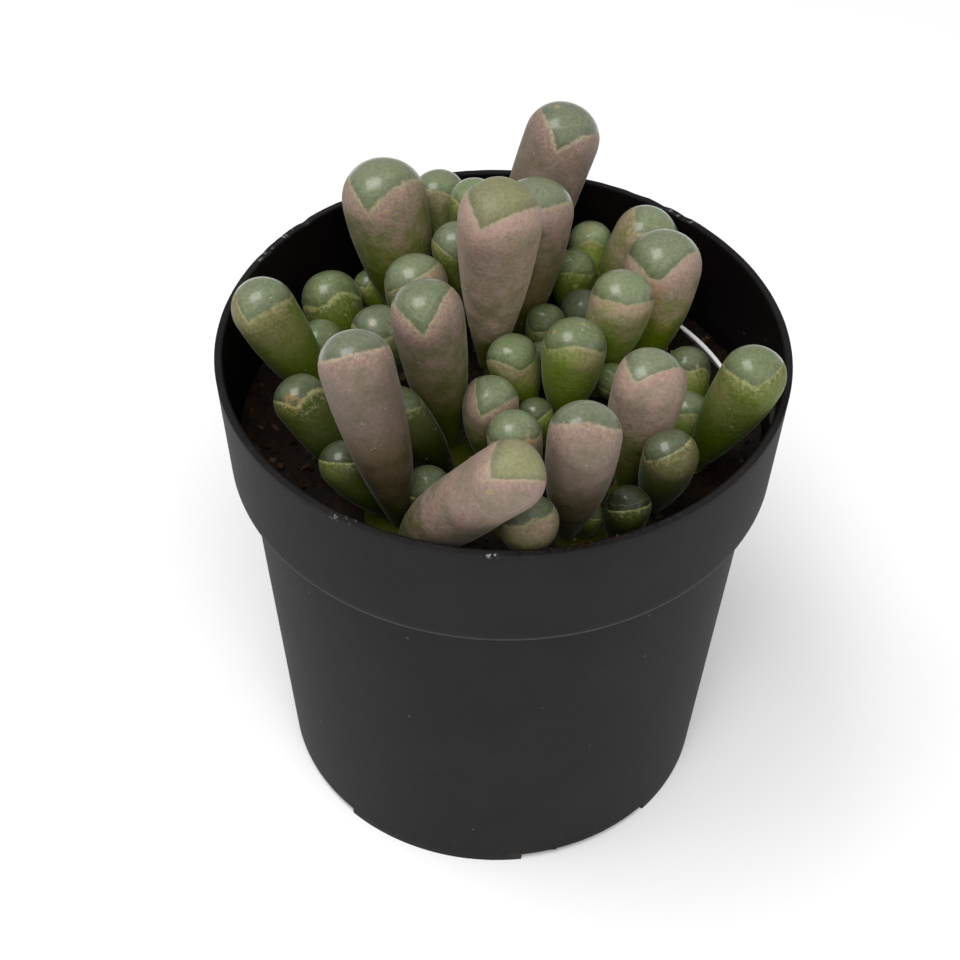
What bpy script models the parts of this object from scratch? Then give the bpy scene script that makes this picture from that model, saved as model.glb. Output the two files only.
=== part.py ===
"""Potted baby toes: thirteen rosettes of club-shaped window leaves in a small black nursery pot.

Written in millimetres and degrees, and scaled to metres as each mesh is made. +Z is up, the
front is towards -Y, and the origin is the middle of the pot's underside.
"""

import math

import bmesh
import bpy
from mathutils import Matrix, Vector

MM = 0.001

# Driving sizes of the pot
RIM_RADIUS = 27.5
POT_HEIGHT = 52.9
COLLAR_HEIGHT = 12.2
WALL = 0.8
BASE_SHARE = 0.795          # base radius over rim radius
BODY_TOP_SHARE = 0.915      # radius just under the collar over rim radius
COLLAR_FOOT_SHARE = 0.97    # collar's lower radius over rim radius

# Foot ring, which drains through four low notches and four holes
FOOT_WIDTH = 3.4
FLOOR_LIFT = 1.2
FLOOR_THICKNESS = 1.2
NOTCH_COUNT = 4
NOTCH_HEIGHT = 0.9
NOTCH_ANGLE = 39.0
FIRST_NOTCH = -61.5
DRAIN_RADIUS = 2.2

# Soil, crowns and leaves
TOUCH_GAP = 0.32            # left between pieces that touch in the real pot
SOIL_DEPTH = 11.8           # soil surface below the rim
SOIL_EDGE_RISE = 1.2        # soil is banked up against the wall
SOIL_LUMP = 0.16
HOLE_GAP = 0.36             # round a crown, whose hole has flat sides
LEAF_FOOT_HEIGHT = 42.0
CROWN_BOTTOM = 36.0
ROOT_DEPTH = 1.6            # each leaf starts this far inside its crown
FOOT_SHARE = 0.26           # a leaf's radius at its foot over its radius near the tip
TAPER = 2.1                 # the higher, the nearer to its foot a leaf keeps its width

# Plant label, pushed down between the soil and the wall
LABEL_START = 14.0
LABEL_END = 47.0
LABEL_THICKNESS = 0.4
LABEL_TOP = 42.7
LABEL_SHOULDER = 33.0
LABEL_POINT = 27.0

POT_SIDES = 80
SOIL_SIDES = 36
CROWN_SIDES = 12

# Each rosette: its crown's centre and radius, then its leaves. A leaf is its foot (x, y), its
# lean from upright, the compass angle that it leans towards, its whole length, its width and,
# where it isn't the usual one, its taper.
ROSETTES = {
    "rosette_left": ((-15.5, 5.5, 4.2), [
        (-17.5, 3, 23, -163, 17.6, 6.1),
        (-15.5, 8.5, 47, 115, 9.9, 6.1),
        (-15.5, 5, 36, 150, 7.9, 5.0),
        (-12.5, 6.5, 12, -81, 10.6, 5.5),
    ]),
    "rosette_front_left": ((-9.1, -12.9, 4.6), [
        (-8.5, -15.7, 36, -42, 24.5, 6.4, 3.0),
        (-9.5, -12.5, 35, -173, 11.0, 4.6),
        (-9, -13.5, 12, -140, 26.3, 6.7),
        (-11.5, -10, 44, 153, 14.5, 5.3),
        (-6, -13, 11, -130, 7.3, 4.3),
    ]),
    "rosette_middle_left": ((-4.2, -4.0, 3.9), [
        (-5, -2.5, 9, -136, 21.8, 6.8),
        (-5, -6.5, 29, -164, 12.8, 5.2),
        (-1.5, -4, 7, -65, 10.5, 5.3),
    ]),
    "rosette_middle": ((4.6, 1.0, 4.0), [
        (6, 2, 9, -61, 13.3, 6.1),
        (2.5, 3, 14, 177, 9.0, 5.1),
        (4, -1.5, 13, -146, 5.5, 3.5),
    ]),
    "rosette_middle_back": ((0.8, 10.8, 3.8), [
        (-1.5, 10, 11, -79, 25.6, 8.1, 1.6),
        (1, 13, 10, 45, 18.9, 7.3),
        (3.5, 11.5, 16, -61, 7.0, 4.0),
        (3.5, 9, 23, -76, 4.7, 2.4),
    ]),
    "rosette_back_right": ((8.8, 17.0, 3.5), [
        (9, 19.5, 25, 97, 8.6, 4.6),
        (6.5, 18, 5, -22, 7.8, 4.5),
        (10.5, 18, 20, 3, 13.6, 6.7),
        (8.5, 15, 23, -109, 6.5, 4.5),
    ]),
    "rosette_right_back": ((12.0, 8.3, 4.0), [
        (14, 10, 9, 36, 15.7, 7.5),
        (9.5, 8.5, 17, -62, 16.0, 6.2),
        (11, 5.5, 31, -95, 6.3, 3.5),
    ]),
    "rosette_front_right": ((8.3, -14.8, 3.4), [
        (6.5, -14, 17, -81, 21.5, 6.6),
        (8, -14.5, 15, -63, 5.4, 2.6),
        (11, -15, 16, -61, 8.4, 4.2),
    ]),
    "rosette_right_front": ((13.2, -8.7, 3.4), [
        (12, -7, 9, -51, 17.8, 6.8),
        (14.5, -10.5, 18, -71, 12.9, 5.1),
    ]),
    "rosette_front": ((1.6, -12.4, 2.9), [
        (2, -10.5, 6, 150, 11.0, 5.2),
        (1.8, -14, 40, -82, 13.2, 5.4),
    ]),
    "rosette_right": ((18.3, -2.2, 3.2), [
        (19, -4, 20, -38, 18.0, 6.1),
        (17, -2.5, 12, 20, 6.9, 4.2),
        (18, 0, 49, 87, 8.6, 4.5),
    ]),
    "rosette_back": ((-2.4, 18.8, 3.9), [
        (-4.5, 20, 18, 136, 14.3, 5.7),
        (-1.5, 19, 8, -167, 15.9, 5.4),
        (0, 20, 19, 33, 22.7, 7.6, 2.5),
        (-3.5, 16, 12, -128, 14.1, 5.0),
    ]),
    "rosette_back_left": ((-10.5, 14.3, 3.7), [
        (-12, 16, 31, 153, 5.8, 3.6),
        (-9.5, 15.5, 13, 149, 19.0, 8.4),
        (-8.5, 12.5, 16, -96, 13.4, 6.3),
    ]),
}

# Sizes worked out from the driving ones
BASE_RADIUS = RIM_RADIUS * BASE_SHARE
BODY_TOP_RADIUS = RIM_RADIUS * BODY_TOP_SHARE
COLLAR_FOOT_RADIUS = RIM_RADIUS * COLLAR_FOOT_SHARE
COLLAR_FOOT = POT_HEIGHT - COLLAR_HEIGHT
LEDGE = COLLAR_FOOT + WALL
FLOOR_TOP = FLOOR_LIFT + FLOOR_THICKNESS
SOIL_LEVEL = POT_HEIGHT - SOIL_DEPTH


def body_radius(height):
    """Inner radius of the pot's tapering body at a height."""
    outer = BASE_RADIUS + (BODY_TOP_RADIUS - BASE_RADIUS) * height / COLLAR_FOOT
    return outer - WALL


def collar_radius(height):
    """Inner radius of the collar at a height."""
    share = (height - COLLAR_FOOT) / COLLAR_HEIGHT
    return COLLAR_FOOT_RADIUS + (RIM_RADIUS - COLLAR_FOOT_RADIUS) * share - WALL


def clear_scene():
    for thing in list(bpy.data.objects):
        bpy.data.objects.remove(thing)


def finish(name, low_mesh, colour=None, roughness=0.5):
    """Makes a node from a bmesh in millimetres: normals out, metres, smooth, one material."""
    bmesh.ops.recalc_face_normals(low_mesh, faces=low_mesh.faces)
    bmesh.ops.scale(low_mesh, vec=(MM, MM, MM), verts=low_mesh.verts)
    mesh = bpy.data.meshes.new(name)
    low_mesh.to_mesh(mesh)
    low_mesh.free()
    node = bpy.data.objects.new(name, mesh)
    bpy.context.collection.objects.link(node)
    if colour:
        mesh.materials.append(plain_material(name + "_finish", colour, roughness))
        smooth(node)
    return node


def plain_material(name, colour, roughness):
    material = bpy.data.materials.new(name)
    material.use_nodes = True
    shader = material.node_tree.nodes["Principled BSDF"]
    shader.inputs["Base Color"].default_value = (*colour, 1.0)
    shader.inputs["Roughness"].default_value = roughness
    shader.inputs["Metallic"].default_value = 0.0
    return material


def smooth(node):
    node.data.shade_smooth()
    node.data.set_sharp_from_angle(angle=math.radians(40))


def turn(low_mesh, profile, sides, place=None):
    """Turns a profile of (radius, height) points round Z into one closed shell."""
    rings = []
    for radius, height in profile:
        if radius == 0:
            ring = [low_mesh.verts.new((0, 0, height))]
        else:
            angles = [2 * math.pi * step / sides for step in range(sides)]
            ring = [low_mesh.verts.new((radius * math.cos(a), radius * math.sin(a), height)) for a in angles]
        rings.append(ring)
    for lower, upper in zip(rings, rings[1:]):
        for step in range(sides):
            after = (step + 1) % sides
            corners = [lower[step % len(lower)], lower[after % len(lower)],
                       upper[after % len(upper)], upper[step % len(upper)]]
            low_mesh.faces.new(list(dict.fromkeys(corners)))
    made = [vertex for ring in rings for vertex in ring]
    if place:
        bmesh.ops.transform(low_mesh, matrix=place, verts=made)
    return made


def sweep_arc(low_mesh, start, end, steps, section):
    """Sweeps a four-cornered section, given by its share of the way, round Z from start to end."""
    columns = []
    for step in range(steps + 1):
        share = step / steps
        angle = math.radians(start + (end - start) * share)
        columns.append([
            low_mesh.verts.new((radius * math.cos(angle), radius * math.sin(angle), height))
            for radius, height in section(share)
        ])
    for here, there in zip(columns, columns[1:]):
        for corner in range(4):
            after = (corner + 1) % 4
            low_mesh.faces.new((here[corner], here[after], there[after], there[corner]))
    low_mesh.faces.new(columns[0])
    low_mesh.faces.new(columns[-1])


def combine(node, others, operation, solver="EXACT"):
    """Joins the other objects to a node, or cuts them from it, in one Boolean, and removes them."""
    group = bpy.data.collections.new(node.name + "_group")
    bpy.context.scene.collection.children.link(group)
    for other in others:
        bpy.context.collection.objects.unlink(other)
        group.objects.link(other)
    boolean = node.modifiers.new("combine", "BOOLEAN")
    boolean.operand_type = "COLLECTION"
    boolean.collection = group
    boolean.operation = operation
    boolean.solver = solver
    with bpy.context.temp_override(object=node, active_object=node):
        bpy.ops.object.modifier_apply(modifier=boolean.name)
    for other in others:
        bpy.data.objects.remove(other)
    bpy.data.collections.remove(group)


def make_pot():
    """A thin nursery pot: tapered body, stepped collar, notched foot ring with drain holes."""
    low_mesh = bmesh.new()
    turn(low_mesh, [
        (0, FLOOR_LIFT),
        (BASE_RADIUS - FOOT_WIDTH, FLOOR_LIFT),
        (BASE_RADIUS - FOOT_WIDTH, 0),
        (BASE_RADIUS, 0),
        (BODY_TOP_RADIUS, COLLAR_FOOT),
        (COLLAR_FOOT_RADIUS, COLLAR_FOOT),
        (RIM_RADIUS, POT_HEIGHT),
        (RIM_RADIUS - WALL, POT_HEIGHT),
        (collar_radius(LEDGE), LEDGE),
        (body_radius(LEDGE), LEDGE),
        (body_radius(FLOOR_TOP), FLOOR_TOP),
        (0, FLOOR_TOP),
    ], POT_SIDES)
    pot = finish("pot", low_mesh, (0.018, 0.018, 0.019), 0.45)

    cutters = []
    inside = BASE_RADIUS - FOOT_WIDTH - 0.5
    outside = BASE_RADIUS + 1.0
    notch = [(inside, -1.0), (outside, -1.0), (outside, NOTCH_HEIGHT), (inside, NOTCH_HEIGHT)]
    drain_place = inside - DRAIN_RADIUS
    for index in range(NOTCH_COUNT):
        middle = FIRST_NOTCH + index * 360 / NOTCH_COUNT
        notch_mesh = bmesh.new()
        sweep_arc(notch_mesh, middle - NOTCH_ANGLE / 2, middle + NOTCH_ANGLE / 2, 6, lambda share: notch)
        cutters.append(finish("notch", notch_mesh))
        drain_mesh = bmesh.new()
        turn(drain_mesh, [(0, 0), (DRAIN_RADIUS, 0), (DRAIN_RADIUS, 4), (0, 4)], 12,
             Matrix.Rotation(math.radians(middle), 4, "Z") @ Matrix.Translation((drain_place, 0, 0)))
        cutters.append(finish("drain", drain_mesh))
    combine(pot, cutters, "DIFFERENCE")
    smooth(pot)


def soil_height(x, y):
    """Lumpy surface, banked up towards the wall."""
    reach = min(math.hypot(x, y) / (body_radius(LEDGE)), 1.0)
    lumps = math.sin(0.9 * x + 0.4 * y) + math.sin(1.3 * y - 0.5 * x) + math.sin(0.55 * x * math.cos(0.2 * y))
    return SOIL_LEVEL + SOIL_EDGE_RISE * reach ** 8 + SOIL_LUMP * lumps * (1 - reach ** 6)


def make_soil(crowns):
    """The soil fills the pot and laps over the ledge; crowns stand in plain round holes."""
    low_mesh = bmesh.new()
    lip = LEDGE + TOUCH_GAP
    shoulder = body_radius(LEDGE) - TOUCH_GAP
    edge = collar_radius(lip) - TOUCH_GAP
    top_radii = [edge, 23.4, 20.2, 16.6, 12.8, 9.0, 4.8]
    profile = [(0, FLOOR_TOP + TOUCH_GAP), (body_radius(FLOOR_TOP) - TOUCH_GAP, FLOOR_TOP + TOUCH_GAP),
               (shoulder, lip), (edge, lip)]
    profile += [(radius, POT_HEIGHT) for radius in top_radii] + [(0, POT_HEIGHT)]
    for vertex in turn(low_mesh, profile, SOIL_SIDES):
        if vertex.co.z > POT_HEIGHT - 1:
            vertex.co.z = soil_height(vertex.co.x, vertex.co.y)
    soil = finish("soil", low_mesh, (0.028, 0.019, 0.013), 0.95)

    cutters = []
    for x, y, radius in crowns:
        hole_mesh = bmesh.new()
        hole = [(0, CROWN_BOTTOM - TOUCH_GAP), (0.55 * radius + HOLE_GAP, CROWN_BOTTOM - TOUCH_GAP),
                (radius + HOLE_GAP, SOIL_LEVEL), (radius + HOLE_GAP, POT_HEIGHT), (0, POT_HEIGHT)]
        turn(hole_mesh, hole, CROWN_SIDES, Matrix.Translation((x, y, 0)))
        cutters.append(finish("hole", hole_mesh))
    cutters.append(make_label_slot())
    combine(soil, cutters, "DIFFERENCE")
    smooth(soil)


def label_section(share):
    """The label follows the wall's taper, and its lower end narrows to a point."""
    bottom = LABEL_SHOULDER - (LABEL_SHOULDER - LABEL_POINT) * (1 - abs(2 * share - 1))
    top = LABEL_TOP - 0.25 * (2 * share - 1) ** 6
    outer_bottom = body_radius(bottom) - TOUCH_GAP
    outer_top = body_radius(top) - TOUCH_GAP
    return [(outer_bottom - LABEL_THICKNESS, bottom), (outer_bottom, bottom),
            (outer_top, top), (outer_top - LABEL_THICKNESS, top)]


def make_label():
    low_mesh = bmesh.new()
    sweep_arc(low_mesh, LABEL_START, LABEL_END, 12, label_section)
    finish("plant_label", low_mesh, (0.86, 0.86, 0.84), 0.35)


def make_label_slot():
    """Room for the label, open towards the wall."""
    bottom = LABEL_POINT - TOUCH_GAP
    depth = LABEL_THICKNESS + 2 * TOUCH_GAP
    section = [(body_radius(bottom) - depth, bottom), (body_radius(bottom), bottom),
               (body_radius(POT_HEIGHT), POT_HEIGHT), (body_radius(POT_HEIGHT) - depth, POT_HEIGHT)]
    side = math.degrees(TOUCH_GAP / body_radius(LEDGE))
    low_mesh = bmesh.new()
    sweep_arc(low_mesh, LABEL_START - side, LABEL_END + side, 12, lambda share: section)
    return finish("label_slot", low_mesh)


def make_leaf(foot_x, foot_y, lean, towards, length, width, taper=TAPER):
    """A club: a round window tip on a shaft that tapers down into the crown."""
    radius = width / 2
    shaft = length - radius
    sides = 12 if width > 5.6 else 10
    profile = [(0, -ROOT_DEPTH), (0.8 * FOOT_SHARE * radius, 0.2 - ROOT_DEPTH)]
    for share in (1.0, 0.8, 0.57, 0.31, 0.0):
        profile.append((radius * (1 - (1 - FOOT_SHARE) * share ** taper), shaft * (1 - share)))
    for angle in (32, 62):
        rise = math.radians(angle)
        profile.append((radius * math.cos(rise), shaft + radius * math.sin(rise)))
    profile.append((0, length))
    place = (Matrix.Translation((foot_x, foot_y, LEAF_FOOT_HEIGHT))
             @ Matrix.Rotation(math.radians(towards), 4, "Z")
             @ Matrix.Rotation(math.radians(lean), 4, "Y"))
    low_mesh = bmesh.new()
    turn(low_mesh, profile, sides, place)
    return finish("leaf", low_mesh)


def make_rosette(name, crown, leaves, colour):
    """A short crown sunk in the soil, with its leaves joined to it in one body."""
    x, y, radius = crown
    low_mesh = bmesh.new()
    turn(low_mesh, [(0, CROWN_BOTTOM), (0.55 * radius, CROWN_BOTTOM), (radius, SOIL_LEVEL - 0.1),
                    (0.78 * radius, LEAF_FOOT_HEIGHT + 0.1), (0, LEAF_FOOT_HEIGHT + 0.5)],
         CROWN_SIDES, Matrix.Translation((x, y, 0)))
    rosette = finish(name, low_mesh, colour, 0.5)
    combine(rosette, [make_leaf(*leaf) for leaf in leaves], "UNION")
    smooth(rosette)


def main():
    clear_scene()
    make_pot()
    make_soil([crown for crown, leaves in ROSETTES.values()])
    make_label()
    sage = Vector((0.27, 0.29, 0.18))
    mauve = Vector((0.34, 0.28, 0.25))
    for index, (name, (crown, leaves)) in enumerate(ROSETTES.items()):
        blush = 0.5 + 0.5 * math.sin(2.4 * index)
        make_rosette(name, crown, leaves, sage.lerp(mauve, blush))


main()
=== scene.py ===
import math
import random

import bpy
from mathutils import Matrix, Vector, noise


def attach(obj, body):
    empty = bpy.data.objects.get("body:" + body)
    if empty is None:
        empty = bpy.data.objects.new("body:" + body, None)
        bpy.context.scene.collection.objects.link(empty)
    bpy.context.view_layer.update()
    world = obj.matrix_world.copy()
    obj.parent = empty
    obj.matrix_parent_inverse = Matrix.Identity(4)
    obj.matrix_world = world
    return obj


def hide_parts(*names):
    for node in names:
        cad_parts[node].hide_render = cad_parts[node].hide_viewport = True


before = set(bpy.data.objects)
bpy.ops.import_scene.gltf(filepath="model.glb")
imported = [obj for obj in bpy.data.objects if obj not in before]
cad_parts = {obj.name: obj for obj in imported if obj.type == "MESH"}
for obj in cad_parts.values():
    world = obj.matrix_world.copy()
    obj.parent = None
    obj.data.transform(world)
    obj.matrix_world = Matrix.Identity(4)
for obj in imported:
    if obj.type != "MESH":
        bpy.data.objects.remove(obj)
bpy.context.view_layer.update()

MM = 0.001


# Camera
# The pot is seen from the front and 45 degrees above, through a long lens held a degree off level.

EYE = Vector((0.0, -0.160, 0.1946))
AIM = Vector((-0.0020, 0.0, 0.0346))
ROLL = 1.14
LENS = 83.94

camera_data = bpy.data.cameras.new("camera")
camera_data.lens = LENS
camera_data.clip_start = 0.01
camera = bpy.data.objects.new("camera", camera_data)
bpy.context.collection.objects.link(camera)
looking = (AIM - EYE).to_track_quat("-Z", "Y").to_matrix().to_4x4()
camera.matrix_world = Matrix.Translation(EYE) @ looking @ Matrix.Rotation(math.radians(ROLL), 4, "Z")
bpy.context.scene.camera = camera


# Nursery pot
# One thin shell of black polypropylene, moulded in one shot. The body tapers to a foot ring that
# drains through four notches and four holes, and a stepped collar carries the rim. The rim is
# rough where pots were pulled apart, and dust and a little soil cling to the outside.

RIM_RADIUS = 27.5
POT_HEIGHT = 52.9
COLLAR_FOOT = 40.7
WALL = 0.8
BASE_RADIUS = 21.86
BODY_TOP_RADIUS = 25.16
COLLAR_FOOT_RADIUS = 26.68
FOOT_WIDTH = 3.4
FLOOR_LIFT = 1.2
FLOOR_TOP = 2.4
LEDGE = COLLAR_FOOT + WALL
NOTCH_COUNT = 4
NOTCH_HEIGHT = 0.9
NOTCH_ANGLE = 39.0
FIRST_NOTCH = -61.5
NOTCH_STEPS = 12
DRAIN_RADIUS = 2.2
DRAIN_STEPS = 24
CUTTER_REACH = 1.0
POT_STEPS = 192
# Rows of vertices this far from a sharp edge keep the shading beside it clean.
FOOT_ROWS = (1.6, 2.2)
EDGE_ROW = 1.0
POT_EDGE_ROUND = 0.22


def body_radius(height):
    """Inner radius of the tapering body at a height, in millimetres."""
    return BASE_RADIUS + (BODY_TOP_RADIUS - BASE_RADIUS) * height / COLLAR_FOOT - WALL


def collar_radius(height):
    """Inner radius of the collar at a height, in millimetres."""
    share = (height - COLLAR_FOOT) / (POT_HEIGHT - COLLAR_FOOT)
    return COLLAR_FOOT_RADIUS + (RIM_RADIUS - COLLAR_FOOT_RADIUS) * share - WALL


def turned(name, profile, steps, start=0.0, sweep=360.0):
    """Extrudes one vertex through (radius, height) points in millimetres and spins the line round Z."""
    bpy.ops.object.select_all(action="DESELECT")
    bpy.ops.mesh.primitive_plane_add(size=0.001)
    piece = bpy.context.object
    piece.name = name
    bpy.ops.object.mode_set(mode="EDIT")
    bpy.ops.mesh.merge(type="CENTER")
    turn = Matrix.Rotation(math.radians(start), 3, "Z")
    points = [turn @ Vector((radius * MM, 0, height * MM)) for radius, height in profile]
    bpy.ops.transform.translate(value=points[0])
    for here, there in zip(points, points[1:]):
        bpy.ops.mesh.extrude_region_move(TRANSFORM_OT_translate={"value": there - here})
    bpy.ops.mesh.select_all(action="SELECT")
    if sweep < 360:
        bpy.ops.mesh.edge_face_add()
    bpy.ops.mesh.spin(steps=steps, angle=math.radians(sweep), center=(0, 0, 0), axis=(0, 0, -1))
    bpy.ops.mesh.select_all(action="SELECT")
    bpy.ops.mesh.remove_doubles(threshold=1e-6)
    bpy.ops.mesh.normals_make_consistent(inside=False)
    bpy.ops.object.mode_set(mode="OBJECT")
    return piece


def applied(piece, kind, **settings):
    """Adds a modifier with its settings and applies it."""
    modifier = piece.modifiers.new(kind.lower(), kind)
    for setting, value in settings.items():
        setattr(modifier, setting, value)
    bpy.context.view_layer.objects.active = piece
    bpy.ops.object.modifier_apply(modifier=modifier.name)


def smooth(piece, angle=40):
    bpy.ops.object.select_all(action="DESELECT")
    piece.select_set(True)
    bpy.context.view_layer.objects.active = piece
    bpy.ops.object.shade_smooth_by_angle(angle=math.radians(angle))


pot = turned("nursery_pot", [
    (0, FLOOR_LIFT),
    (BASE_RADIUS - FOOT_WIDTH, FLOOR_LIFT),
    (BASE_RADIUS - FOOT_WIDTH, 0),
    (BASE_RADIUS, 0),
    (body_radius(FOOT_ROWS[0]) + WALL, FOOT_ROWS[0]),
    (body_radius(FOOT_ROWS[1]) + WALL, FOOT_ROWS[1]),
    (body_radius(COLLAR_FOOT - EDGE_ROW) + WALL, COLLAR_FOOT - EDGE_ROW),
    (BODY_TOP_RADIUS, COLLAR_FOOT),
    (COLLAR_FOOT_RADIUS, COLLAR_FOOT),
    (collar_radius(COLLAR_FOOT + EDGE_ROW) + WALL, COLLAR_FOOT + EDGE_ROW),
    (collar_radius(POT_HEIGHT - EDGE_ROW) + WALL, POT_HEIGHT - EDGE_ROW),
    (RIM_RADIUS, POT_HEIGHT),
    (RIM_RADIUS - WALL, POT_HEIGHT),
    (collar_radius(POT_HEIGHT - EDGE_ROW), POT_HEIGHT - EDGE_ROW),
    (collar_radius(LEDGE), LEDGE),
    (body_radius(LEDGE), LEDGE),
    (body_radius(FLOOR_TOP), FLOOR_TOP),
    (0, FLOOR_TOP),
], POT_STEPS)

# The notches cut right through the foot ring, and a drain hole stands just inside each.
foot_inside = BASE_RADIUS - FOOT_WIDTH - 0.5 * CUTTER_REACH
cutters = []
for index in range(NOTCH_COUNT):
    middle = FIRST_NOTCH + index * 360 / NOTCH_COUNT
    notch = turned("notch", [
        (foot_inside, -CUTTER_REACH),
        (BASE_RADIUS + CUTTER_REACH, -CUTTER_REACH),
        (BASE_RADIUS + CUTTER_REACH, NOTCH_HEIGHT),
        (foot_inside, NOTCH_HEIGHT),
    ], NOTCH_STEPS, start=middle - NOTCH_ANGLE / 2, sweep=NOTCH_ANGLE)
    bpy.ops.mesh.primitive_cylinder_add(
        vertices=DRAIN_STEPS, radius=DRAIN_RADIUS * MM, depth=4 * CUTTER_REACH * MM,
        location=Matrix.Rotation(math.radians(middle), 3, "Z")
        @ Vector(((foot_inside - DRAIN_RADIUS) * MM, 0, 2 * CUTTER_REACH * MM)))
    cutters += [notch, bpy.context.object]
group = bpy.data.collections.new("pot_cutters")
for cutter in cutters:
    group.objects.link(cutter)
applied(pot, "BOOLEAN", operation="DIFFERENCE", operand_type="COLLECTION", collection=group)
for cutter in cutters:
    bpy.data.objects.remove(cutter)
bpy.data.collections.remove(group)
applied(pot, "BEVEL", width=POT_EDGE_ROUND * MM, segments=3, limit_method="ANGLE",
        angle_limit=math.radians(35))

# The rim's edge is a little ragged, with a few deeper nicks: each is its angle and its depth.
NICKS = ((49.0, 0.16), (55.0, 0.24), (61.0, 0.16), (127.0, 0.14), (139.0, 0.2), (-97.0, 0.14),
         (152.0, 0.12))
NICK_ANGLE = 1.1
RAGGED_BAND = 0.4
RAGGED_DEPTH = 0.04
RIPPLE = 0.05
RIPPLE_LENGTH = 1.3

for vertex in pot.data.vertices:
    high = vertex.co.z / MM - (POT_HEIGHT - RAGGED_BAND)
    if high > 0:
        angle = math.degrees(math.atan2(vertex.co.y, vertex.co.x))
        nick = sum(deep * math.exp(-((angle - place) / NICK_ANGLE) ** 2) for place, deep in NICKS)
        ripple = RIPPLE * noise.noise(vertex.co / (RIPPLE_LENGTH * MM))
        vertex.co.z -= (nick + RAGGED_DEPTH + ripple) * MM * high / RAGGED_BAND
smooth(pot)


class Socket:
    """A socket of a material's nodes. Python's operators treat it as a number."""

    def __init__(self, tree, socket=None):
        self.tree = tree
        self.socket = socket

    def node(self, kind, settings=None, values=None, output=0):
        """Adds any node: first its settings, then the values or links of its sockets."""
        made = self.tree.nodes.new("ShaderNode" + kind)
        for setting, value in (settings or {}).items():
            setattr(made, setting, value)
        for name, value in (values or {}).items():
            if isinstance(value, Socket):
                self.tree.links.new(value.socket, made.inputs[name])
            else:
                made.inputs[name].default_value = value
        return Socket(self.tree, made.outputs[output])

    def maths(self, operation, *values):
        return self.node("Math", {"operation": operation}, dict(enumerate(values)))

    def __add__(self, other):
        return self.maths("ADD", self, other)

    __radd__ = __add__

    def __mul__(self, other):
        return self.maths("MULTIPLY", self, other)

    __rmul__ = __mul__

    def __sub__(self, other):
        return self.maths("SUBTRACT", self, other)

    def __rsub__(self, other):
        return self.maths("SUBTRACT", other, self)

    def __truediv__(self, other):
        return self.maths("DIVIDE", self, other)

    def __pow__(self, other):
        return self.maths("POWER", self, other)

    def __abs__(self):
        return self.maths("ABSOLUTE", self)

    def least(self, other):
        return self.maths("MINIMUM", self, other)

    def step(self, start, end):
        """0 before start, 1 past end, and smooth between them."""
        return self.node("MapRange", {"interpolation_type": "SMOOTHSTEP"},
                         {"Value": self, "From Min": start, "From Max": end})

    def mix(self, colour, other):
        """The first colour where this is 0 and the other where it is 1."""
        colours = [(*c, 1.0) if isinstance(c, tuple) else c for c in (colour, other)]
        return self.node("Mix", {"data_type": "RGBA"}, {0: self, 6: colours[0], 7: colours[1]}, 2)

    def noise(self, scale, detail=2.0, roughness=0.5):
        """Noise on these coordinates, from 0 to 1."""
        return self.node("TexNoise", None, {"Vector": self, "Scale": scale, "Detail": detail,
                                            "Roughness": roughness})

    def cells(self, scale, output=0):
        """Voronoi cells on these coordinates: output 0 is the distance, 1 each cell's colour."""
        return self.node("TexVoronoi", None, {"Vector": self, "Scale": scale}, output)

    def scaled(self, factor):
        """This colour, brighter or darker by a factor."""
        return self.node("VectorMath", {"operation": "SCALE"}, {0: self, "Scale": factor})

    def near(self, x, y, z, reach):
        """1 at a point of the piece, fading to 0 at a reach from it, all in millimetres."""
        point = (x * MM, y * MM, z * MM)
        away = self.node("VectorMath", {"operation": "DISTANCE"}, {0: self, 1: point}, 1)
        return away.step(reach * MM, 0.3 * reach * MM)

    def parts(self):
        """The three numbers in a vector or colour."""
        split = self.node("SeparateXYZ", None, {0: self})
        return [Socket(self.tree, output) for output in split.socket.node.outputs]


def material(name, **constants):
    """A new Principled material: its constants go straight on the shader's sockets."""
    made = bpy.data.materials.new(name)
    made.use_nodes = True
    shader = made.node_tree.nodes["Principled BSDF"]
    for socket, value in constants.items():
        shader.inputs[socket.replace("_", " ").title().replace("Ior", "IOR")].default_value = value
    return made, Socket(made.node_tree)


def plug(made, colour=None, roughness=None, bump=None, bump_distance=0.0, coat=None):
    """Links a material's varying colour, roughness, surface height and coat to its shader."""
    tree = made.node_tree
    shader = tree.nodes["Principled BSDF"]
    for name, value in (("Base Color", colour), ("Roughness", roughness), ("Coat Weight", coat)):
        if value is not None:
            tree.links.new(value.socket, shader.inputs[name])
    if bump is not None:
        relief = bump.node("Bump", None, {"Height": bump, "Distance": bump_distance, "Strength": 1.0})
        tree.links.new(relief.socket, shader.inputs["Normal"])


def dress(piece, made):
    """Gives a piece its material and its slot, and lets it ride on the pot's body."""
    piece.data.materials.clear()
    piece.data.materials.append(made)
    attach(piece, "root")


# Scuffs on the rim: each is its compass angle and its reach. Patches of painted reflection on the inner
# wall, light grey: each is its x, y, z and reach.
SCUFFS = ((152.0, 4.2), (143.0, 2.6), (-120.0, 1.7), (-91.0, 0.7), (49.0, 2.4))
REFLECTION_PATCHES = ((26.2, -1.5, 46.2, 3.0), (25.0, -5.8, 43.8, 3.6))
PLASTIC_BLACK = (0.0085, 0.0078, 0.0080)
PLASTIC_FADED = (0.0145, 0.0135, 0.0132)
PLASTIC_SHADED = (0.0022, 0.0012, 0.0011)
PAINTED_COLLAR_HIGHLIGHT = (0.075, 0.072, 0.07)
PLASTIC_SCUFFED = (0.5, 0.5, 0.5)
PAINTED_REFLECTION_GREY = (0.085, 0.082, 0.08)
SOIL_STAIN = (0.045, 0.03, 0.02)
SPECK = (0.13, 0.13, 0.12)

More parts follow.
